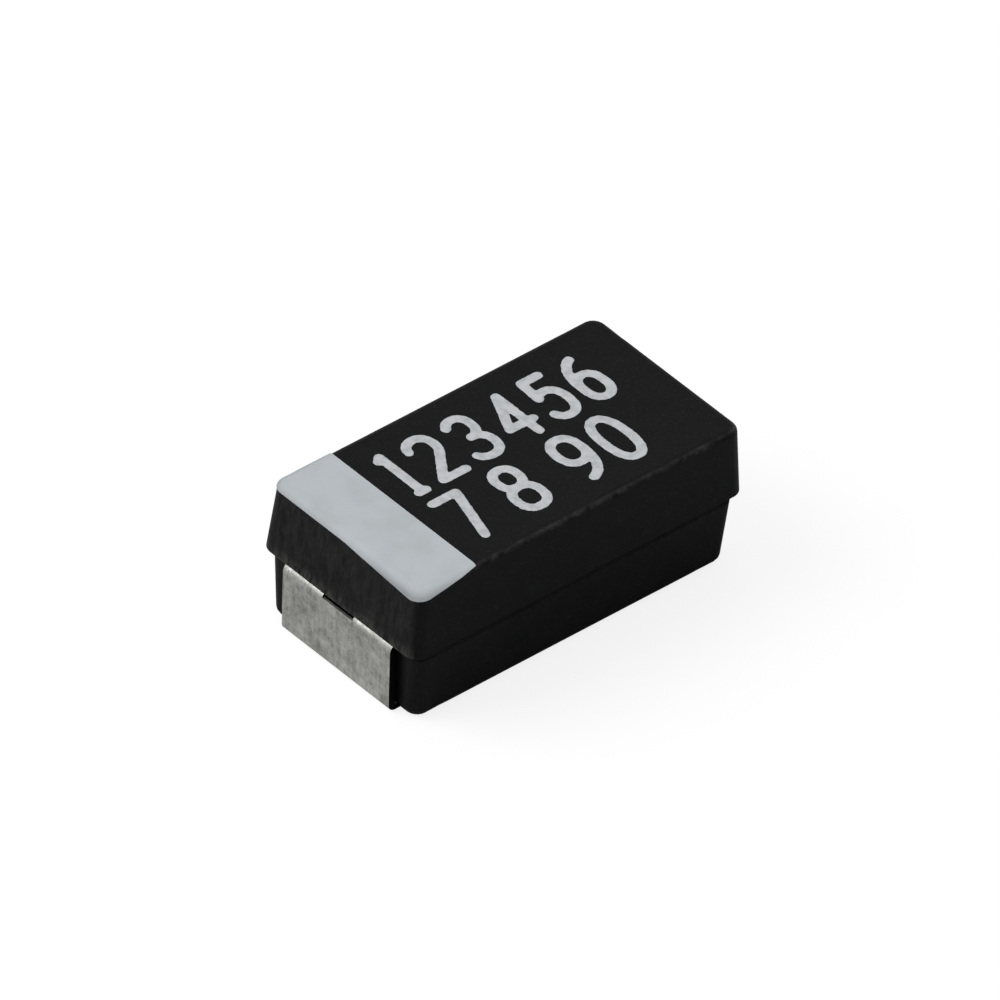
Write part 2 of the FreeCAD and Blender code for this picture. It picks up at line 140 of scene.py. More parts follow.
@dataclass(frozen=True)
class MouldedEpoxy:
    """Black epoxy filled with silica, transfer moulded.

    The carbon black gives the eye a near-black with a blunt sheen, the silica a fine salt-like
    grain. The edges of the top are paler: rubbed by handling, with a painted highlight on the
    rounding. The end walls are lighter in upright streaks: a scuffed texture with painted light
    where the key falls on them, strongest along the parting line as a painted highlight. Just
    below the overhang runs a thin line without sheen, where flash was blasted off.
    """

    name: str = "moulded_epoxy"
    roughness: float = 0.4
    specular: float = 0.18
    relief_mm: float = 0.004
    relief_strength: float = 0.5

    # Mottle: a fine grain times a broad cloud, and the span that takes the dark to the light.
    dark: str = "#030404"
    light: str = "#090a0a"
    shade_span: Pair = (0.14, 0.36)
    grain_mm: float = 0.05
    grain_detail: float = 4.0
    grain_roughness: float = 0.65
    cloud_mm: float = 0.35
    cloud_detail: float = 3.0
    cloud_roughness: float = 0.6

    # Grains of silica that show through the skin.
    filler: str = "#1e1f1f"
    filler_mm: float = 0.028
    filler_detail: float = 1.0
    filler_span: Pair = (0.6, 0.75)

    # Rubbed edges with a painted highlight: paler where a surface leans up more than a wall does
    # and less than the top does.
    worn_and_highlight: str = "#2b2b2a"
    wall_span: Pair = (0.2, 0.5)
    top_span: Pair = (0.985, 0.88)
    rub_mm: float = 0.12
    rub_detail: float = 3.0
    rub_span: Pair = (0.35, 0.7)
    rub_most: float = 0.8

    # Scuffs of the end walls: upright streaks on what faces endways, stronger by the parting.
    # They are also painted light: lighter end walls where the key falls, and a painted highlight
    # along the parting.
    scuffed_and_painted_light: str = "#464644"
    end_span: Pair = (0.72, 0.95)
    scuff_width_mm: float = 0.09
    scuff_height_mm: float = 0.35
    scuff_detail: float = 5.0
    scuff_roughness: float = 0.8
    scuff_span: Pair = (0.38, 0.7)
    scuff_most: float = 0.46
    gain_away: float = 0.8
    highlight_gain_at_parting: float = 4.2
    parting_mm: float = 1.213
    parting_reach_mm: float = 0.2
    parting_blur_mm: float = 0.03

    # The blasted line under the parting.
    flash_mm: float = 0.115
    flash_roughness: float = 1.0

    def material(self) -> bpy.types.Material:
        """Build the material.

        Returns:
            Mottled near-black with a fine raised grain, rubbed edges with a painted highlight,
            and scuffed ends with painted light.
        """
        material, tree = blank_material(self.name)
        coordinates = add_node(tree, "ShaderNodeTexCoord")
        place = coordinates.outputs["Object"]
        grain = add_node(tree, "ShaderNodeTexNoise", {
            "Vector": place, "Scale": grain_scale(self.grain_mm),
            "Detail": self.grain_detail, "Roughness": self.grain_roughness})
        cloud = add_node(tree, "ShaderNodeTexNoise", {
            "Vector": place, "Scale": grain_scale(self.cloud_mm),
            "Detail": self.cloud_detail, "Roughness": self.cloud_roughness})
        mottle = add_node(tree, "ShaderNodeMath", {
            0: grain.outputs["Fac"], 1: cloud.outputs["Fac"]}, operation="MULTIPLY")
        shade = add_node(tree, "ShaderNodeValToRGB", {"Fac": mottle.outputs["Value"]},
                         stops=tuple(zip(self.shade_span, (self.dark, self.light))))
        specks = add_node(tree, "ShaderNodeTexNoise", {
            "Vector": place, "Scale": grain_scale(self.filler_mm), "Detail": self.filler_detail})
        speckle = add_node(tree, "ShaderNodeMapRange", {
            "Value": specks.outputs["Fac"],
            "From Min": self.filler_span[0], "From Max": self.filler_span[1]})
        filled = add_node(tree, "ShaderNodeMix", {
            "Factor": speckle.outputs["Result"], MIX_FIRST: shade.outputs["Color"],
            MIX_SECOND: linear(self.filler)}, data_type="RGBA")
        # Streaks on the end walls: scuffs and painted light, with a painted highlight by the
        # parting.
        scuffed_and_painted_light = add_node(tree, "ShaderNodeMix", {
            "Factor": self.scuffs_and_painted_light(tree, coordinates), MIX_FIRST: filled.outputs[MIX_RESULT],
            MIX_SECOND: linear(self.scuffed_and_painted_light)}, data_type="RGBA")
        # Paler edges of the top: wear and a painted highlight.
        worn_and_highlight = add_node(tree, "ShaderNodeMix", {
            "Factor": self.rubbed_edges_and_highlight(tree, coordinates),
            MIX_FIRST: scuffed_and_painted_light.outputs[MIX_RESULT], MIX_SECOND: linear(self.worn_and_highlight)},
            data_type="RGBA")
        bump = add_node(tree, "ShaderNodeBump", {
            "Height": grain.outputs["Fac"], "Strength": self.relief_strength,
            "Distance": self.relief_mm * MM})
        surface = add_node(tree, "ShaderNodeBsdfPrincipled", {
            "Base Color": worn_and_highlight.outputs[MIX_RESULT], "Roughness": self.flash_line(tree, place),
            "Specular IOR Level": self.specular, "Normal": bump.outputs["Normal"]})
        add_node(tree, "ShaderNodeOutputMaterial", {"Surface": surface.outputs["BSDF"]})
        return material

    def flash_line(self, tree: Tree, place: Socket) -> Socket:
        """Take the sheen off a thin line just below the overhang.

        Args:
            tree: Node tree that gets the nodes.
            place: Object coordinates in metres.

        Returns:
            A socket with the roughness of the block.
        """
        height = add_node(tree, "ShaderNodeSeparateXYZ", {"Vector": place}).outputs["Z"]
        half = self.flash_mm / 2
        line = add_node(tree, "ShaderNodeMath", {
            0: height, 1: (self.parting_mm - half) * MM, 2: half * MM}, operation="COMPARE")
        rough = add_node(tree, "ShaderNodeMapRange", {
            "Value": line.outputs["Value"],
            "To Min": self.roughness, "To Max": self.flash_roughness})
        return rough.outputs["Result"]

    def rubbed_edges_and_highlight(self, tree: Tree, coordinates: Node) -> Socket:
        """Find the leaning surfaces round the top: rubbed by handling, and a painted highlight.

        Args:
            tree: Node tree that gets the nodes.
            coordinates: The tree's Texture Coordinate node.

        Returns:
            A socket that is zero on the top and the walls, and above it in patches between them.
        """
        upward = add_node(tree, "ShaderNodeSeparateXYZ", {
            "Vector": coordinates.outputs["Normal"]}).outputs["Z"]
        off_wall = add_node(tree, "ShaderNodeMapRange", {
            "Value": upward, "From Min": self.wall_span[0], "From Max": self.wall_span[1]})
        off_top = add_node(tree, "ShaderNodeMapRange", {
            "Value": upward, "From Min": self.top_span[0], "From Max": self.top_span[1]})
        edge = add_node(tree, "ShaderNodeMath", {
            0: off_wall.outputs["Result"], 1: off_top.outputs["Result"]}, operation="MULTIPLY")
        rub = add_node(tree, "ShaderNodeTexNoise", {
            "Vector": coordinates.outputs["Object"], "Scale": grain_scale(self.rub_mm),
            "Detail": self.rub_detail})
        patches = add_node(tree, "ShaderNodeMapRange", {
            "Value": rub.outputs["Fac"], "From Min": self.rub_span[0],
            "From Max": self.rub_span[1], "To Max": self.rub_most})
        rubbed_and_painted_light = add_node(tree, "ShaderNodeMath", {
            0: edge.outputs["Value"], 1: patches.outputs["Result"]}, operation="MULTIPLY")
        return rubbed_and_painted_light.outputs["Value"]

    def scuffs_and_painted_light(self, tree: Tree, coordinates: Node) -> Socket:
        """Find the streaks on the upper half of the end walls: scuffs, and painted light that
        lightens these walls, with a painted highlight along the parting.

        Args:
            tree: Node tree that gets the nodes.
            coordinates: The tree's Texture Coordinate node.

        Returns:
            A socket that is zero away from the ends and strongest by the parting line.
        """
        endways = facing_parts(tree, coordinates.outputs["Normal"]).outputs["X"]
        end_wall = add_node(tree, "ShaderNodeMapRange", {
            "Value": endways, "From Min": self.end_span[0], "From Max": self.end_span[1]})
        place = coordinates.outputs["Object"]
        across = grain_scale(self.scuff_width_mm)
        upright = add_node(tree, "ShaderNodeVectorMath", {
            0: place, 1: (across, across, grain_scale(self.scuff_height_mm))},
            operation="MULTIPLY")
        streaks = add_node(tree, "ShaderNodeTexNoise", {
            "Vector": upright.outputs["Vector"], "Scale": 1.0,
            "Detail": self.scuff_detail, "Roughness": self.scuff_roughness})
        film = add_node(tree, "ShaderNodeMapRange", {
            "Value": streaks.outputs["Fac"], "From Min": self.scuff_span[0],
            "From Max": self.scuff_span[1], "To Max": self.scuff_most})
        height = add_node(tree, "ShaderNodeSeparateXYZ", {"Vector": place}).outputs["Z"]
        parting = self.parting_mm * MM
        # Painted highlight: the streaks gain strength towards the parting.
        near_parting = add_node(tree, "ShaderNodeMapRange", {
            "Value": height, "From Min": parting + self.parting_reach_mm * MM,
            "From Max": parting, "To Min": self.gain_away, "To Max": self.highlight_gain_at_parting})
        upper = add_node(tree, "ShaderNodeMapRange", {
            "Value": height, "From Min": parting - self.parting_blur_mm * MM,
            "From Max": parting})
        spread = add_node(tree, "ShaderNodeMath", {
            0: near_parting.outputs["Result"], 1: upper.outputs["Result"]}, operation="MULTIPLY")
        strength = add_node(tree, "ShaderNodeMath", {
            0: film.outputs["Result"], 1: spread.outputs["Value"]}, operation="MULTIPLY")
        scuff_and_painted_light = add_node(tree, "ShaderNodeMath", {
            0: end_wall.outputs["Result"], 1: strength.outputs["Value"]}, operation="MULTIPLY",
            use_clamp=True)
        return scuff_and_painted_light.outputs["Value"]


@dataclass(frozen=True)
class StampedInk:
    """Pale grey epoxy ink, pressed on by a soft pad.

    It gives the eye an even, slightly satin grey that goes a shade thinner in soft patches.
    """

    name: str
    base: str
    thin: str
    patch_mm: float
    patch_detail: float = 3.0
    shade_span: Pair = (0.32, 0.6)
    roughness: float = 0.55
    specular: float = 0.2

    # The ink's tooth is finer on the real print. It is drawn as coarse as it needs to show.
    grain_mm: float = 0.03
    grain_detail: float = 2.0
    relief_mm: float = 0.002
    relief_strength: float = 0.4

    def material(self) -> bpy.types.Material:
        """Build the material.

        Returns:
            Light grey with soft patches and a fine tooth.
        """
        material, tree = blank_material(self.name)
        place = add_node(tree, "ShaderNodeTexCoord").outputs["Object"]
        patch = add_node(tree, "ShaderNodeTexNoise", {
            "Vector": place, "Scale": grain_scale(self.patch_mm), "Detail": self.patch_detail})
        shade = add_node(tree, "ShaderNodeValToRGB", {"Fac": patch.outputs["Fac"]},
                         stops=tuple(zip(self.shade_span, (self.thin, self.base))))
        grain = add_node(tree, "ShaderNodeTexNoise", {
            "Vector": place, "Scale": grain_scale(self.grain_mm), "Detail": self.grain_detail})
        bump = add_node(tree, "ShaderNodeBump", {
            "Height": grain.outputs["Fac"], "Strength": self.relief_strength,
            "Distance": self.relief_mm * MM})
        surface = add_node(tree, "ShaderNodeBsdfPrincipled", {
            "Base Color": shade.outputs["Color"], "Roughness": self.roughness,
            "Specular IOR Level": self.specular, "Normal": bump.outputs["Normal"]})
        add_node(tree, "ShaderNodeOutputMaterial", {"Surface": surface.outputs["BSDF"]})
        return material


@dataclass(frozen=True)
class MatteTin:
    """Matte tin plated on a nickel-iron strip.

    The plating gives the eye a cloudy pale grey with faint forming streaks. The bends are a
    duller
    grey in patches: rubbed, and painted shade that tones down the lamps' highlight there. The
    punched sides of the strip show the dark bare metal, darkened further as painted shade, and
    the level edge in its slot is painted shade.
    """

    name: str = "matte_tin"
    roughness: float = 0.5

    # Clouds of the plating, from its pits to its clear patches, with streaks along the strip.
    pitted: str = "#b1b1ad"
    dull: str = "#dadad6"
    clear: str = "#f4f4f0"
    shade_places: Triple = (0.4, 0.5, 0.6)
    mottle_mm: float = 0.3
    mottle_detail: float = 7.0
    mottle_roughness: float = 0.85
    streak_width_mm: float = 0.04
    streak_length_mm: float = 0.4
    streak_detail: float = 3.0
    streak_share: float = 0.18

    # Rubbed bends with painted shade that tones down the lamps' highlight: where a surface
    # faces endways and up at once.
    rubbed_and_painted_light: str = "#bcbcb6"
    bend_span: Pair = (0.28, 0.48)
    rub_mm: float = 0.09
    rub_detail: float = 3.0
    rub_span: Pair = (0.38, 0.62)

    # Punched faces, painted dark: the strip's sides, bare metal with painted shade, and the level
    # edge in its slot, by its place, which is painted shade.
    bare_metal_and_shade: str = "#1f1f1e"
    side_span: Pair = (0.5, 0.8)
    level_span: Pair = (0.9, 0.97)
    slot_edge_mm: float = 2.92
    slot_reach_mm: float = 0.055
    foot_mm: float = 0.3

    # Tin's crystals are finer on the real strip. They are drawn as coarse as they need to show.
    crystal_mm: float = 0.035
    crystal_detail: float = 3.0
    relief_mm: float = 0.005
    relief_strength: float = 0.6

    def material(self) -> bpy.types.Material:
        """Build the material.

        Returns:
            Mottled matte metal with streaks, rubbed bends and dark punched sides, with painted
            shade.
        """
        material, tree = blank_material(self.name)
        coordinates = add_node(tree, "ShaderNodeTexCoord")
        place = coordinates.outputs["Object"]
        mottle = add_node(tree, "ShaderNodeTexNoise", {
            "Vector": place, "Scale": grain_scale(self.mottle_mm),
            "Detail": self.mottle_detail, "Roughness": self.mottle_roughness})
        streaks = add_node(tree, "ShaderNodeTexNoise", {
            "Vector": self.along_strip(tree, place), "Scale": 1.0,
            "Detail": self.streak_detail})
        cloud = add_node(tree, "ShaderNodeMix", {
            "Factor": self.streak_share, "A": mottle.outputs["Fac"],
            "B": streaks.outputs["Fac"]}, data_type="FLOAT")
        shades = (self.pitted, self.dull, self.clear)
        shade = add_node(tree, "ShaderNodeValToRGB", {"Fac": cloud.outputs["Result"]},
                         stops=tuple(zip(self.shade_places, shades)))
        facing = facing_parts(tree, coordinates.outputs["Normal"])
        # Duller bends: rubbing and painted shade that tones down the highlight.
        handled_and_shaded = add_node(tree, "ShaderNodeMix", {
            "Factor": self.rubbed_bends_and_shade(tree, place, facing), MIX_FIRST: shade.outputs["Color"],
            MIX_SECOND: linear(self.rubbed_and_painted_light)}, data_type="RGBA")
        # Dark punched sides and slot edge: bare metal and painted shade.
        bare_and_shaded = add_node(tree, "ShaderNodeMix", {
            "Factor": self.cut_faces_and_shade(tree, place, facing), MIX_FIRST: handled_and_shaded.outputs[MIX_RESULT],
            MIX_SECOND: linear(self.bare_metal_and_shade)}, data_type="RGBA")
        crystal = add_node(tree, "ShaderNodeTexNoise", {
            "Vector": place, "Scale": grain_scale(self.crystal_mm),
            "Detail": self.crystal_detail})
        bump = add_node(tree, "ShaderNodeBump", {
            "Height": crystal.outputs["Fac"], "Strength": self.relief_strength,
            "Distance": self.relief_mm * MM})
        surface = add_node(tree, "ShaderNodeBsdfPrincipled", {
            "Base Color": bare_and_shaded.outputs[MIX_RESULT], "Metallic": 1.0, "Roughness": self.roughness,
            "Normal": bump.outputs["Normal"]})
        add_node(tree, "ShaderNodeOutputMaterial", {"Surface": surface.outputs["BSDF"]})
        return material

    def along_strip(self, tree: Tree, place: Socket) -> Socket:
        """Stretch the coordinates along the strip, for streaks that follow its bending.

        Args:
            tree: Node tree that gets the node.
            place: Object coordinates in metres.

        Returns:
            Coordinates in which a streak is one unit long and one unit wide.
        """
        along = grain_scale(self.streak_length_mm)
        stretched = add_node(tree, "ShaderNodeVectorMath", {
            0: place, 1: (along, grain_scale(self.streak_width_mm), along)},
            operation="MULTIPLY")
        return stretched.outputs["Vector"]

    def rubbed_bends_and_shade(self, tree: Tree, place: Socket, facing: Node) -> Socket:
        """Find the patches of the bends that forming has rubbed, dulled as painted shade on the
        highlight.

        Args:
            tree: Node tree that gets the nodes.
            place: Object coordinates in metres.
            facing: How much the surface faces along each axis.

        Returns:
            A socket that is zero on flat metal and up to one on patches of a bend.
        """
        bend = add_node(tree, "ShaderNodeMath", {
            0: facing.outputs["X"], 1: facing.outputs["Z"]}, operation="MULTIPLY")
        folded = add_node(tree, "ShaderNodeMapRange", {
            "Value": bend.outputs["Value"],
            "From Min": self.bend_span[0], "From Max": self.bend_span[1]})
        rub = add_node(tree, "ShaderNodeTexNoise", {
            "Vector": place, "Scale": grain_scale(self.rub_mm), "Detail": self.rub_detail})
        patches = add_node(tree, "ShaderNodeMapRange", {
            "Value": rub.outputs["Fac"],
            "From Min": self.rub_span[0], "From Max": self.rub_span[1]})
        rubbed_and_painted_light = add_node(tree, "ShaderNodeMath", {
            0: folded.outputs["Result"], 1: patches.outputs["Result"]}, operation="MULTIPLY")
        return rubbed_and_painted_light.outputs["Value"]

    def cut_faces_and_shade(self, tree: Tree, place: Socket, facing: Node) -> Socket:
        """Find the faces painted dark: the strip's punched sides, bare metal with painted shade,
        and the lower edge of its slot, painted shade.

        Args:
            tree: Node tree that gets the nodes.
            place: Object coordinates in metres.
            facing: How much the surface faces along each axis.

        Returns:
            A socket that is one on a punched side and on the shaded edge of the slot.
        """
        side = add_node(tree, "ShaderNodeMapRange", {
            "Value": facing.outputs["Y"],
            "From Min": self.side_span[0], "From Max": self.side_span[1]})
        level = add_node(tree, "ShaderNodeMapRange", {
            "Value": facing.outputs["Z"],
            "From Min": self.level_span[0], "From Max": self.level_span[1]})
        distance = add_node(tree, "ShaderNodeVectorMath", {0: place}, operation="ABSOLUTE")
        out = add_node(tree, "ShaderNodeSeparateXYZ", {"Vector": distance.outputs["Vector"]})
        in_wall = add_node(tree, "ShaderNodeMath", {
            0: out.outputs["X"], 1: self.slot_edge_mm * MM, 2: self.slot_reach_mm * MM},
            operation="COMPARE")
        above_foot = add_node(tree, "ShaderNodeMath", {
            0: out.outputs["Z"], 1: self.foot_mm * MM}, operation="GREATER_THAN")
        wall = add_node(tree, "ShaderNodeMath", {
            0: in_wall.outputs["Value"], 1: above_foot.outputs["Value"]}, operation="MULTIPLY")
        # Painted shade: the level edge in the slot is darkened as if in shadow.
        slot_shade = add_node(tree, "ShaderNodeMath", {
            0: level.outputs["Result"], 1: wall.outputs["Value"]}, operation="MULTIPLY")
        cut_and_shade = add_node(tree, "ShaderNodeMath", {
            0: side.outputs["Result"], 1: slot_shade.outputs["Value"]}, operation="MAXIMUM")
        return cut_and_shade.outputs["Value"]


@dataclass(frozen=True)
class GranularFinish:
    """Finish of a hidden piece: one material in two shades, with its own grain.

    Real powders and flakes are finer. They are drawn as coarse as they need to show.
    """

    name: str
    dark: str
    light: str
    grain_mm: float
    metallic: float
    roughness: float
    grain_detail: float = 3.0
    shade_span: Pair = (0.35, 0.65)
    relief_mm: float = 0.004
    relief_strength: float = 0.5

    def material(self) -> bpy.types.Material:
        """Build the material.

        Returns:
            Two shades mixed by a grain of real size, with matching relief.
        """
        material, tree = blank_material(self.name)
        place = add_node(tree, "ShaderNodeTexCoord").outputs["Object"]
        grain = add_node(tree, "ShaderNodeTexNoise", {
            "Vector": place, "Scale": grain_scale(self.grain_mm), "Detail": self.grain_detail})
        shade = add_node(tree, "ShaderNodeValToRGB", {"Fac": grain.outputs["Fac"]},
                         stops=tuple(zip(self.shade_span, (self.dark, self.light))))
        bump = add_node(tree, "ShaderNodeBump", {
            "Height": grain.outputs["Fac"], "Strength": self.relief_strength,
            "Distance": self.relief_mm * MM})
        surface = add_node(tree, "ShaderNodeBsdfPrincipled", {
            "Base Color": shade.outputs["Color"], "Metallic": self.metallic,
            "Roughness": self.roughness, "Normal": bump.outputs["Normal"]})
        add_node(tree, "ShaderNodeOutputMaterial", {"Surface": surface.outputs["BSDF"]})
        return material


# The stripe is laid on in one broad touch, so the eye sees it even.
BAND_INK = StampedInk("band_ink", base="#b3b8bc", thin="#acb1b4", patch_mm=0.45)
# The figures take more ink for their width, so they look a shade brighter and more patchy.
MARK_INK = StampedInk("mark_ink", base="#bdbfc2", thin="#a9acaf", patch_mm=0.1)
# Sintered powder scatters light, so the eye sees a dull dark grey sponge.
SINTERED_TANTALUM = GranularFinish("sintered_tantalum", "#45474c", "#6a6d73",
                                   grain_mm=0.03, metallic=1.0, roughness=0.7)
# Drawing leaves the wire smoother than the block, with a soft steel-blue shine.
DRAWN_TANTALUM = GranularFinish("drawn_tantalum", "#73767c", "#8b8e94",
                                grain_mm=0.06, metallic=1.0, roughness=0.35)
# A waxy off-white that looks soft beside the metals.
FLUOROPOLYMER = GranularFinish("fluoropolymer", "#e2e2dd", "#efefec",
                               grain_mm=0.08, metallic=0.0, roughness=0.4)
# A brownish black with no gloss, like dry soot.
MANGANESE_DIOXIDE = GranularFinish("manganese_dioxide", "#161413", "#24211f",
                                   grain_mm=0.02, metallic=0.0, roughness=0.85)
# A neutral black, a little smoother than the oxide under it.
CARBON_PAINT = GranularFinish("carbon_paint", "#1b1b1c", "#29292b",
                              grain_mm=0.02, metallic=0.0, roughness=0.8)
# Silver flakes in a binder: a warm pale grey with a blunt glitter.
SILVER_PAINT = GranularFinish("silver_paint", "#b9b8b3", "#d0cfca",
                              grain_mm=0.02, metallic=1.0, roughness=0.6)


def dress(node: str, material: bpy.types.Material) -> None:
    """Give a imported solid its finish.

    Args:
        node: Name of the solid.
        material: Finish that replaces the plain one in each slot.
    """
    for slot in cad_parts[node].material_slots:
        slot.material = material
    LOG.info("dressed %s in %s", node, material.name)


@dataclass(frozen=True)
class Bow:
    """Stretch of a bowl in a figure's cell, from one angle to another, in degrees.

    A fullness of one gives an ellipse, and less swells the bowl towards its corners.
    """

    centre: Pair
    radii: Pair
    start: float
    end: float
    steps: int = 18
    fullness: float = 0.86

    def points(self) -> list[Pair]:
        """Trace the bow.

        Returns:
            Its points, in order.
        """
        spots = []
        for step in range(self.steps + 1):
            angle = math.radians(self.start + (self.end - self.start) * step / self.steps)
            spots.append((self.centre[0] + self.radii[0] * self.swell(math.cos(angle)),
                          self.centre[1] + self.radii[1] * self.swell(math.sin(angle))))
        return spots

    def swell(self, share: float) -> float:
        """Push a share of a radius, from -1 to 1, outwards from the ellipse."""
        return math.copysign(abs(share) ** self.fullness, share)


@dataclass(frozen=True)
class Run:
    """Straight stretches through corners in a figure's cell."""

    corners: tuple[Pair, ...]

    def points(self) -> list[Pair]:
        """Give the corners, in order."""
        return list(self.corners)


# Single-stroke figures. A cell is one wide and two high, with its origin at the lower left,
# and a stroke is a chain of bows and runs whose ends meet.
FIGURES: dict[str, tuple[tuple[Bow | Run, ...], ...]] = {
    "0": ((Bow((0.5, 1.0), (0.5, 1.0), 0, 360, 40),),),
    "1": ((Run(((0.0, 1.84), (0.55, 2.0), (0.55, 0.0))),), (Run(((0.1, 0.0), (1.0, 0.0))),)),
    "2": ((Bow((0.5, 1.48), (0.5, 0.52), 168, -35), Run(((0.0, 0.0), (1.0, 0.0)))),),
    "3": ((Bow((0.46, 1.51), (0.46, 0.49), 152, -90),
           Bow((0.46, 0.51), (0.54, 0.51), 90, -152)),),
    "4": ((Run(((0.74, 0.0), (0.74, 2.0), (0.0, 0.56), (1.0, 0.56))),),),
    "5": ((Run(((0.92, 2.0), (0.14, 2.0), (0.08, 1.12))),
           Bow((0.46, 0.66), (0.54, 0.66), 118, -150)),),
    "6": ((Bow((1.0, 0.7), (1.0, 1.3), 104, 180), Bow((0.5, 0.6), (0.5, 0.6), 180, 540, 30)),),
    "7": ((Run(((0.0, 2.0), (1.0, 2.0), (0.36, 0.0))),),),
    "8": ((Bow((0.5, 1.53), (0.42, 0.47), -90, 270, 30),
           Bow((0.5, 0.53), (0.5, 0.53), 90, -270, 30)),),
    "9": ((Bow((0.0, 1.3), (1.0, 1.3), -76, 0), Bow((0.5, 1.4), (0.5, 0.6), 0, 360, 30)),),
}


@dataclass(frozen=True)
class Figure:
    """One printed figure and the stretch of its row that it fills, in millimetres."""

    character: str
    left: float
    right: float


@dataclass(frozen=True)
class Row:
    """A row of figures between two levels across the top face, in millimetres."""

    base: float
    top: float
    figures: tuple[Figure, ...]


# Plain figures in counting order, with no meaning beyond their look.
UPPER_ROW = Row(0.046, 1.095, (
    Figure("1", -1.60, -1.31),
    Figure("2", -1.14, -0.58),
    Figure("3", -0.42, 0.14),
    Figure("4", 0.29, 0.87),
    Figure("5", 1.01, 1.55),
    Figure("6", 1.67, 2.19),
))
LOWER_ROW = Row(-1.168, -0.10, (
    Figure("7", -1.61, -1.03),
    Figure("8", -0.65, -0.06),
    Figure("9", 0.42, 0.99),
    Figure("0", 1.12, 1.70),
))


@dataclass
class CodeMarks:
    """Figures printed on the top face as a thin film of ink. Sizes are in millimetres.

    A stroke starts as a round bead. The film is flat above the plateau, a share of the bead's
    height, and keyed a little into the face. Its border is ragged by a smooth noise.
    """

    rows: tuple[Row, ...] = (UPPER_ROW, LOWER_ROW)
    finish: StampedInk = MARK_INK
    stroke: float = 0.152
    ball_subdivisions: int = 2
    rod_sides: int = 16
    film: float = 0.008
    keyed: float = 0.002
    plateau: float = 0.6
    mesh_step: float = 0.015
    ragged: float = 0.007
    ragged_length: float = 0.055
    ragged_seed: int = 5

    def build(self) -> None:
        """Print every figure of both rows, with the same borders in each run."""
        noise.seed_set(self.ragged_seed)
        ink = self.finish.material()
        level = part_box("moulded_case")[1][2]
        for number, row in enumerate(self.rows, start=1):
            for figure in row.figures:
                piece = self.print_figure(f"mark_{number}_{figure.character}", figure, row, level)
                piece.data.materials.append(ink)
                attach(piece, BODY)
                LOG.info("printed %s", piece.name)

    def print_figure(self, name: str, figure: Figure, row: Row, level: float) -> Object:
        """Print one figure as a film with soft borders.

        Args:
            name: Name of the piece.
            figure: Character and where it stands in its row.
            row: Row that it stands in.
            level: Height of the printed face, in metres.

        Returns:
            The figure's mesh, in place.
        """
        skin = self.melt(self.lay_beads(figure, row))
        mesh = bmesh.new()
        mesh.from_mesh(skin)
        bpy.data.meshes.remove(skin)
        for vertex in mesh.verts:
            wander = noise.noise_vector(vertex.co / self.ragged_length) * self.ragged
            vertex.co.x += wander.x
            vertex.co.y += wander.y
            vertex.co.z = self.film_height(vertex.co.z / (self.stroke / 2))
        bmesh.ops.scale(mesh, vec=(MM, MM, MM), verts=mesh.verts)
        bmesh.ops.translate(mesh, vec=(0, 0, level), verts=mesh.verts)
        bmesh.ops.recalc_face_normals(mesh, faces=mesh.faces)
        data = bpy.data.meshes.new(name)
        mesh.to_mesh(data)
        mesh.free()
        data.shade_smooth()
        piece = bpy.data.objects.new(name, data)
        bpy.context.scene.collection.objects.link(piece)
        return piece

    def film_height(self, share: float) -> float:
        """Press a round bead flat.

        Args:
            share: Height in the bead, from -1 at its underside to 1 at its crest.

        Returns:
            Height in the film, in millimetres: flat on top, keyed into the face below.
        """
        if share < 0:
            return -self.keyed * min(1.0, -share / self.plateau)
        return self.film * min(1.0, share / self.plateau)

    def lay_beads(self, figure: Figure, row: Row) -> bmesh.types.BMesh:
        """Lay the strokes of a figure as round beads.

        Args:
            figure: Character and where it stands in its row.
            row: Row that it stands in.

        Returns:
            Overlapping closed beads, in millimetres on the plane of the face.
        """
        wide = figure.right - figure.left - self.stroke
        tall = (row.top - row.base - self.stroke) / 2
        corner = Vector((figure.left + self.stroke / 2, row.base + self.stroke / 2, 0))
        mesh = bmesh.new()
        for stroke in FIGURES[figure.character]:
            self.add_bead(mesh, [corner + Vector((x * wide, y * tall, 0))
                                 for stretch in stroke for x, y in stretch.points()])
        return mesh

    def add_bead(self, mesh: bmesh.types.BMesh, line: list[Vector]) -> None:
        """Add one stroke as a chain of balls and rods.

        Args:
            mesh: Mesh that gets the bead.
            line: Middle line of the stroke.
        """
        half = self.stroke / 2
        for spot in line:
            bmesh.ops.create_icosphere(mesh, subdivisions=self.ball_subdivisions, radius=half,
                                       matrix=Matrix.Translation(spot))
        for start, end in zip(line, line[1:]):
            along = end - start
            turn = along.to_track_quat("Z", "Y").to_matrix().to_4x4()
            bmesh.ops.create_cone(mesh, cap_ends=True, segments=self.rod_sides, radius1=half,
                                  radius2=half, depth=along.length,
                                  matrix=Matrix.Translation((start + end) / 2) @ turn)

    def melt(self, beads: bmesh.types.BMesh) -> bpy.types.Mesh:
        """Melt overlapping beads into one skin.

        Args:
            beads: Closed beads that overlap. They are freed.

        Returns:
            One closed mesh round all of them.
        """
        data = bpy.data.meshes.new("beads")
        beads.to_mesh(data)
        beads.free()
        holder = bpy.data.objects.new("beads", data)
        bpy.context.scene.collection.objects.link(holder)
        skin = holder.modifiers.new("skin", "REMESH")
        skin.mode = "VOXEL"
        skin.voxel_size = self.mesh_step
        graph = bpy.context.evaluated_depsgraph_get()
        melted = bpy.data.meshes.new_from_object(holder.evaluated_get(graph))
        bpy.data.objects.remove(holder)
        bpy.data.meshes.remove(data)
        return melted


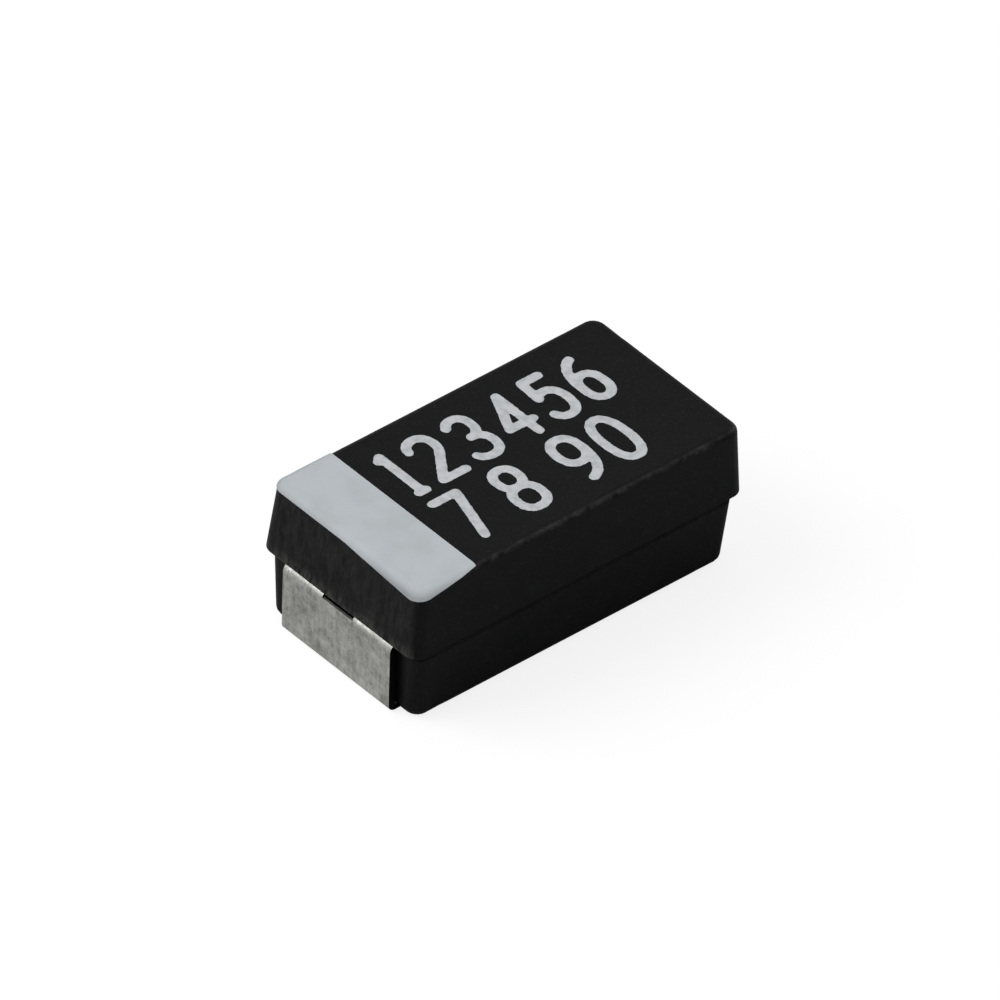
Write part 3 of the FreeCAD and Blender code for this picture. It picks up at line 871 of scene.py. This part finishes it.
@dataclass
class Moulding:
    """The epoxy block and the stripe that is printed across its anode end."""

    epoxy: MouldedEpoxy = field(default_factory=MouldedEpoxy)
    ink: StampedInk = BAND_INK

    def build(self) -> None:
        """Dress the block and its stripe."""
        dress("moulded_case", self.epoxy.material())
        dress("polarity_band", self.ink.material())


@dataclass
class Terminals:
    """The two folded strips, of one tinned metal."""

    tin: MatteTin = field(default_factory=MatteTin)

    def build(self) -> None:
        """Dress both strips."""
        tin = self.tin.material()
        dress("anode_terminal", tin)
        dress("cathode_terminal", tin)


@dataclass
class AnodeCore:
    """The sintered block with its wire, washer, coats and adhesive, all inside the moulding."""

    finishes: tuple[tuple[str, GranularFinish], ...] = (
        ("tantalum_pellet", SINTERED_TANTALUM),
        ("anode_wire", DRAWN_TANTALUM),
        ("wire_washer", FLUOROPOLYMER),
        ("manganese_coat", MANGANESE_DIOXIDE),
        ("carbon_coat", CARBON_PAINT),
    )
    silvered: tuple[str, ...] = ("silver_coat", "silver_adhesive")

    def build(self) -> None:
        """Dress every hidden piece, the two silver ones alike."""
        for node, finish in self.finishes:
            dress(node, finish.material())
        silver = SILVER_PAINT.material()
        for node in self.silvered:
            dress(node, silver)


@dataclass(frozen=True)
class Lamp:
    """A square soft lamp that faces the part: place and side in metres, power in watts."""

    name: str
    place: Triple
    power: float
    size: float = 0.22


@dataclass
class Studio:
    """Pale floor, soft light and the photograph's camera, in metres where no unit is named."""

    # Camera, fitted to the straight edges in the photograph.
    azimuth: float = -44.327
    elevation: float = 39.583
    roll: float = 4.399
    distance: float = 500 * MM
    pixels_per_mm: float = 73.208
    frame_pixels: float = 1000.0
    sensor_mm: float = 36.0
    clip_near: float = 50 * MM
    clip_far: float = 10.0
    target: Triple = (0.0, 0.0, 1.23 * MM)
    target_pixel: Pair = (503.064, 517.150)

    # Floor: paper and its glow make it white to the camera. Other light meets the bounce.
    floor_size: float = 0.6
    floor_gap: float = 0.002 * MM
    paper: str = "#9c9c9c"
    paper_glow: float = 0.84
    bounce: str = "#c4c4c4"

    # World: its level, and how much brighter it is towards its bright side.
    world_level: float = 0.26
    world_lean: float = 0.23
    bright_side: Triple = (-0.2, 0.93, 0.31)

    # The key lights everything, and the other two the part alone.
    key: Lamp = Lamp("key", (-0.177, 0.135, 0.202), 0.385)
    fill: Lamp = Lamp("fill", (-0.054, -0.238, 0.265), 0.81)
    back: Lamp = Lamp("back", (0.28, -0.033, 0.165), 0.2)

    def build(self) -> None:
        """Set up the floor, world, lamps, camera and view transform."""
        floor = self.add_floor()
        self.set_world()
        self.add_lamp(self.key)
        self.keep_light_off((self.add_lamp(self.fill), self.add_lamp(self.back)), floor)
        self.add_camera()
        bpy.context.scene.view_settings.view_transform = "Standard"

    def add_floor(self) -> Object:
        """Lay the floor just clear of the feet.

        Returns:
            The floor.
        """
        mesh = bmesh.new()
        bmesh.ops.create_grid(mesh, x_segments=1, y_segments=1, size=self.floor_size,
                              matrix=Matrix.Translation((0, 0, -self.floor_gap)))
        data = bpy.data.meshes.new("floor")
        mesh.to_mesh(data)
        mesh.free()
        data.materials.append(self.floor_paper())
        floor = bpy.data.objects.new("floor", data)
        bpy.context.scene.collection.objects.link(floor)
        return floor

    def floor_paper(self) -> bpy.types.Material:
        """Build the floor's material.

        Returns:
            Pale paper that goes white in the camera and keeps a soft shadow. It is clear from
            below, and to the light in a view from there.
        """
        material, tree = blank_material("floor_paper")
        seen = add_node(tree, "ShaderNodeLightPath").outputs[SEEN]
        plain = add_node(tree, "ShaderNodeBsdfDiffuse", {"Color": linear(self.bounce)})
        paper = add_node(tree, "ShaderNodeBsdfDiffuse", {"Color": linear(self.paper)})
        glow = add_node(tree, "ShaderNodeEmission", {
            "Color": WHITE, "Strength": self.paper_glow})
        white = add_node(tree, "ShaderNodeAddShader", {
            0: paper.outputs["BSDF"], 1: glow.outputs["Emission"]})
        mix = add_node(tree, "ShaderNodeMixShader", {
            0: seen, 1: plain.outputs["BSDF"], 2: white.outputs["Shader"]})
        from_below = add_node(tree, "ShaderNodeNewGeometry").outputs["Backfacing"]
        passed = add_node(tree, "ShaderNodeLightPath").outputs["Transparent Depth"]
        open_floor = add_node(tree, "ShaderNodeMath", {0: from_below, 1: passed},
                              operation="MAXIMUM", use_clamp=True)
        clear = add_node(tree, "ShaderNodeBsdfTransparent")
        sheet = add_node(tree, "ShaderNodeMixShader", {
            0: open_floor.outputs["Value"], 1: mix.outputs["Shader"], 2: clear.outputs["BSDF"]})
        add_node(tree, "ShaderNodeOutputMaterial", {"Surface": sheet.outputs["Shader"]})
        return material

    def set_world(self) -> None:
        """Fill the world with soft light, brighter behind, that the camera sees as white."""
        world = bpy.data.worlds.new("studio")
        world.use_nodes = True
        tree = world.node_tree
        tree.nodes.clear()
        seen = add_node(tree, "ShaderNodeLightPath").outputs[SEEN]
        direction = add_node(tree, "ShaderNodeTexCoord").outputs["Generated"]
        towards = add_node(tree, "ShaderNodeVectorMath", {
            0: direction, 1: self.bright_side}, operation="DOT_PRODUCT")
        sky = add_node(tree, "ShaderNodeMapRange", {
            "Value": towards.outputs["Value"], "From Min": -1.0, "From Max": 1.0,
            "To Min": self.world_level - self.world_lean,
            "To Max": self.world_level + self.world_lean})
        level = add_node(tree, "ShaderNodeMapRange", {
            "Value": seen, "To Min": sky.outputs["Result"], "To Max": 1.0})
        light = add_node(tree, "ShaderNodeBackground", {
            "Color": WHITE, "Strength": level.outputs["Result"]})
        add_node(tree, "ShaderNodeOutputWorld", {"Surface": light.outputs["Background"]})
        bpy.context.scene.world = world

    def add_lamp(self, lamp: Lamp) -> Object:
        """Hang a lamp, turned to the part and kept out of every picture.

        Args:
            lamp: Its name, place, power and size.

        Returns:
            The lamp's object.
        """
        data = bpy.data.lights.new(lamp.name, "AREA")
        data.shape = "SQUARE"
        data.size = lamp.size
        data.energy = lamp.power
        panel = bpy.data.objects.new(lamp.name, data)
        panel.location = lamp.place
        aim = Vector(self.target) - Vector(lamp.place)
        panel.rotation_euler = aim.to_track_quat("-Z", "Y").to_euler()
        panel.visible_camera = False
        bpy.context.scene.collection.objects.link(panel)
        return panel

    def keep_light_off(self, lamps: tuple[Object, ...], floor: Object) -> None:
        """Let some lamps light the part alone, so that the floor keeps the key's shadow.

        Args:
            lamps: Lamps that light everything but the floor.
            floor: The floor.
        """
        unlit = bpy.data.collections.new("unlit_floor")
        unlit.objects.link(floor)
        unlit.collection_objects[0].light_linking.link_state = "EXCLUDE"
        for lamp in lamps:
            lamp.light_linking.receiver_collection = unlit

    def add_camera(self) -> None:
        """Place the camera where the photograph's edges say that it stood."""
        azimuth, elevation, roll = (math.radians(angle) for angle in
                                    (self.azimuth, self.elevation, self.roll))
        back = Vector((math.sin(azimuth) * math.cos(elevation),
                       -math.cos(azimuth) * math.cos(elevation), math.sin(elevation)))
        level_right = Vector((math.cos(azimuth), math.sin(azimuth), 0))
        level_up = back.cross(level_right)
        right = math.cos(roll) * level_right + math.sin(roll) * level_up
        up = math.cos(roll) * level_up - math.sin(roll) * level_right
        middle = self.frame_pixels / 2
        metres = MM / self.pixels_per_mm
        aside = (middle - self.target_pixel[0]) * metres
        aloft = (self.target_pixel[1] - middle) * metres
        place = Vector(self.target) + right * aside + up * aloft + back * self.distance
        data = bpy.data.cameras.new("camera")
        data.sensor_width = self.sensor_mm
        data.lens = self.pixels_per_mm * self.distance / MM / self.frame_pixels * self.sensor_mm
        data.clip_start = self.clip_near
        data.clip_end = self.clip_far
        camera = bpy.data.objects.new("camera", data)
        turn = Matrix((right, up, back)).transposed()
        camera.matrix_world = Matrix.Translation(place) @ turn.to_4x4()
        bpy.context.scene.collection.objects.link(camera)
        bpy.context.scene.camera = camera


def corners(box: tuple[Vector, Vector]) -> list[list[float]]:
    """Write a box's lowest and highest corner as plain numbers."""
    return [list(corner) for corner in box]


def main() -> None:
    """Build the part and its studio."""
    logging.basicConfig(level=logging.INFO, format="%(message)s")
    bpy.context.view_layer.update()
    Moulding().build()
    Terminals().build()
    AnodeCore().build()
    CodeMarks().build()
    Studio().build()


if __name__ == "__main__":
    main()
